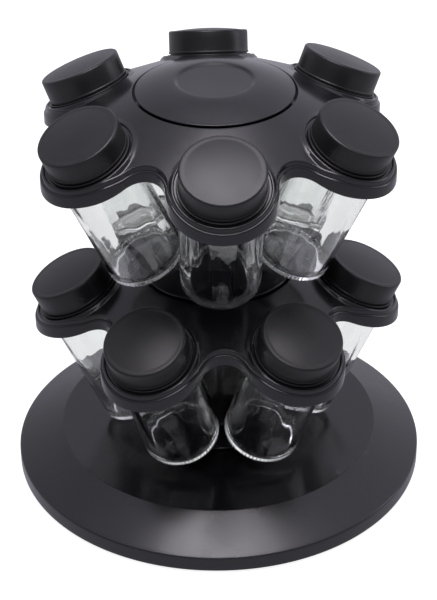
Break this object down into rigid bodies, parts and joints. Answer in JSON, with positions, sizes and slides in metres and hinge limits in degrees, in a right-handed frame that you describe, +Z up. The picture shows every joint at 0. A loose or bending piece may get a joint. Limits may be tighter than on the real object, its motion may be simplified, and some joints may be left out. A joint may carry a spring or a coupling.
{
  "type": "spice carousel",
  "caption": "Two-tier rotating spice rack: glass jars with screw lids hang tilted in star-shaped tiers that turn on a round base.",
  "frame": {"origin": "centre of the ground under the rubber feet", "axes": "+Z up along the axis the tiers turn about; -Y towards a viewer facing the first upper jar; +X to that viewer's right"},
  "size_m": [0.2574, 0.2574, 0.2626],
  "materials": {
    "satin_black": "satin charcoal-black moulded plastic",
    "lid_black": "fine satin black moulded plastic",
    "clear_glass": "clear pressed soda-lime glass with a faint green tint",
    "milky_plastic": "translucent natural polyethylene",
    "steel": "zinc-plated steel",
    "nylon": "natural nylon",
    "rubber": "matt black rubber"
  },
  "bodies": {
    "base": {"base_cover": "satin_black", "base_plate": "satin_black", "base_screw_1": "steel", "base_screw_2": "steel", "base_screw_3": "steel", "rubber_foot_1": "rubber", "rubber_foot_2": "rubber", "rubber_foot_3": "rubber", "rubber_foot_4": "rubber", "bearing_race": "steel", "pivot_bush": "nylon"},
    "carousel": {"lower_column": "satin_black", "lower_tier": "satin_black", "upper_column": "satin_black", "upper_tier": "satin_black", "top_cap": "satin_black", "tie_rod": "steel", "tie_nut": "steel", "nut_washer": "steel", "rod_washer": "steel"},
    "bearing_cage": {"ball_cage": "nylon"},
    "jar_upper_1": {"jar_upper_1": "clear_glass", "sifter_upper_1": "milky_plastic"},
    "lid_upper_1": {"lid_upper_1": "lid_black"},
    "jar_upper_2": {"jar_upper_2": "clear_glass", "sifter_upper_2": "milky_plastic"},
    "lid_upper_2": {"lid_upper_2": "lid_black"},
    "jar_upper_3": {"jar_upper_3": "clear_glass", "sifter_upper_3": "milky_plastic"},
    "lid_upper_3": {"lid_upper_3": "lid_black"},
    "jar_upper_4": {"jar_upper_4": "clear_glass", "sifter_upper_4": "milky_plastic"},
    "lid_upper_4": {"lid_upper_4": "lid_black"},
    "jar_upper_5": {"jar_upper_5": "clear_glass", "sifter_upper_5": "milky_plastic"},
    "lid_upper_5": {"lid_upper_5": "lid_black"},
    "jar_upper_6": {"jar_upper_6": "clear_glass", "sifter_upper_6": "milky_plastic"},
    "lid_upper_6": {"lid_upper_6": "lid_black"},
    "jar_lower_1": {"jar_lower_1": "clear_glass", "sifter_lower_1": "milky_plastic"},
    "lid_lower_1": {"lid_lower_1": "lid_black"},
    "jar_lower_2": {"jar_lower_2": "clear_glass", "sifter_lower_2": "milky_plastic"},
    "lid_lower_2": {"lid_lower_2": "lid_black"},
    "jar_lower_3": {"jar_lower_3": "clear_glass", "sifter_lower_3": "milky_plastic"},
    "lid_lower_3": {"lid_lower_3": "lid_black"},
    "jar_lower_4": {"jar_lower_4": "clear_glass", "sifter_lower_4": "milky_plastic"},
    "lid_lower_4": {"lid_lower_4": "lid_black"},
    "jar_lower_5": {"jar_lower_5": "clear_glass", "sifter_lower_5": "milky_plastic"},
    "lid_lower_5": {"lid_lower_5": "lid_black"},
    "jar_lower_6": {"jar_lower_6": "clear_glass", "sifter_lower_6": "milky_plastic"},
    "lid_lower_6": {"lid_lower_6": "lid_black"}
  },
  "joints": [
    {"name": "carousel_spin", "type": "hinge", "parent": "base", "child": "carousel", "pos_m": [0, 0, 0.0247], "axis": [0, 0, 1], "continuous": true},
    {"name": "cage_spin", "type": "hinge", "parent": "base", "child": "bearing_cage", "pos_m": [0, 0, 0.0165], "axis": [0, 0, 1], "continuous": true},
    {"name": "lift_jar_upper_1", "type": "slide", "parent": "carousel", "child": "jar_upper_1", "axis": [0, -0.4147, 0.91], "range_m": [0, 0.1]},
    {"name": "lift_lid_upper_1", "type": "slide", "parent": "jar_upper_1", "child": "lid_upper_1", "axis": [0, -0.4147, 0.91], "range_m": [0, 0.03]},
    {"name": "lift_jar_upper_2", "type": "slide", "parent": "carousel", "child": "jar_upper_2", "axis": [0.3591, -0.2073, 0.91], "range_m": [0, 0.1]},
    {"name": "lift_lid_upper_2", "type": "slide", "parent": "jar_upper_2", "child": "lid_upper_2", "axis": [0.3591, -0.2073, 0.91], "range_m": [0, 0.03]},
    {"name": "lift_jar_upper_3", "type": "slide", "parent": "carousel", "child": "jar_upper_3", "axis": [0.3591, 0.2073, 0.91], "range_m": [0, 0.1]},
    {"name": "lift_lid_upper_3", "type": "slide", "parent": "jar_upper_3", "child": "lid_upper_3", "axis": [0.3591, 0.2073, 0.91], "range_m": [0, 0.03]},
    {"name": "lift_jar_upper_4", "type": "slide", "parent": "carousel", "child": "jar_upper_4", "axis": [0, 0.4147, 0.91], "range_m": [0, 0.1]},
    {"name": "lift_lid_upper_4", "type": "slide", "parent": "jar_upper_4", "child": "lid_upper_4", "axis": [0, 0.4147, 0.91], "range_m": [0, 0.03]},
    {"name": "lift_jar_upper_5", "type": "slide", "parent": "carousel", "child": "jar_upper_5", "axis": [-0.3591, 0.2073, 0.91], "range_m": [0, 0.1]},
    {"name": "lift_lid_upper_5", "type": "slide", "parent": "jar_upper_5", "child": "lid_upper_5", "axis": [-0.3591, 0.2073, 0.91], "range_m": [0, 0.03]},
    {"name": "lift_jar_upper_6", "type": "slide", "parent": "carousel", "child": "jar_upper_6", "axis": [-0.3591, -0.2073, 0.91], "range_m": [0, 0.1]},
    {"name": "lift_lid_upper_6", "type": "slide", "parent": "jar_upper_6", "child": "lid_upper_6", "axis": [-0.3591, -0.2073, 0.91], "range_m": [0, 0.03]},
    {"name": "lift_jar_lower_1", "type": "slide", "parent": "carousel", "child": "jar_lower_1", "axis": [0.2073, -0.3591, 0.91], "range_m": [0, 0.1]},
    {"name": "lift_lid_lower_1", "type": "slide", "parent": "jar_lower_1", "child": "lid_lower_1", "axis": [0.2073, -0.3591, 0.91], "range_m": [0, 0.03]},
    {"name": "lift_jar_lower_2", "type": "slide", "parent": "carousel", "child": "jar_lower_2", "axis": [0.4147, 0, 0.91], "range_m": [0, 0.1]},
    {"name": "lift_lid_lower_2", "type": "slide", "parent": "jar_lower_2", "child": "lid_lower_2", "axis": [0.4147, 0, 0.91], "range_m": [0, 0.03]},
    {"name": "lift_jar_lower_3", "type": "slide", "parent": "carousel", "child": "jar_lower_3", "axis": [0.2073, 0.3591, 0.91], "range_m": [0, 0.1]},
    {"name": "lift_lid_lower_3", "type": "slide", "parent": "jar_lower_3", "child": "lid_lower_3", "axis": [0.2073, 0.3591, 0.91], "range_m": [0, 0.03]},
    {"name": "lift_jar_lower_4", "type": "slide", "parent": "carousel", "child": "jar_lower_4", "axis": [-0.2073, 0.3591, 0.91], "range_m": [0, 0.1]},
    {"name": "lift_lid_lower_4", "type": "slide", "parent": "jar_lower_4", "child": "lid_lower_4", "axis": [-0.2073, 0.3591, 0.91], "range_m": [0, 0.03]},
    {"name": "lift_jar_lower_5", "type": "slide", "parent": "carousel", "child": "jar_lower_5", "axis": [-0.4147, 0, 0.91], "range_m": [0, 0.1]},
    {"name": "lift_lid_lower_5", "type": "slide", "parent": "jar_lower_5", "child": "lid_lower_5", "axis": [-0.4147, 0, 0.91], "range_m": [0, 0.03]},
    {"name": "lift_jar_lower_6", "type": "slide", "parent": "carousel", "child": "jar_lower_6", "axis": [-0.2073, -0.3591, 0.91], "range_m": [0, 0.1]},
    {"name": "lift_lid_lower_6", "type": "slide", "parent": "jar_lower_6", "child": "lid_lower_6", "axis": [-0.2073, -0.3591, 0.91], "range_m": [0, 0.03]}
  ],
  "couplings": [
    {"joint": "cage_spin", "follows": "carousel_spin", "ratio": 0.5}
  ]
}
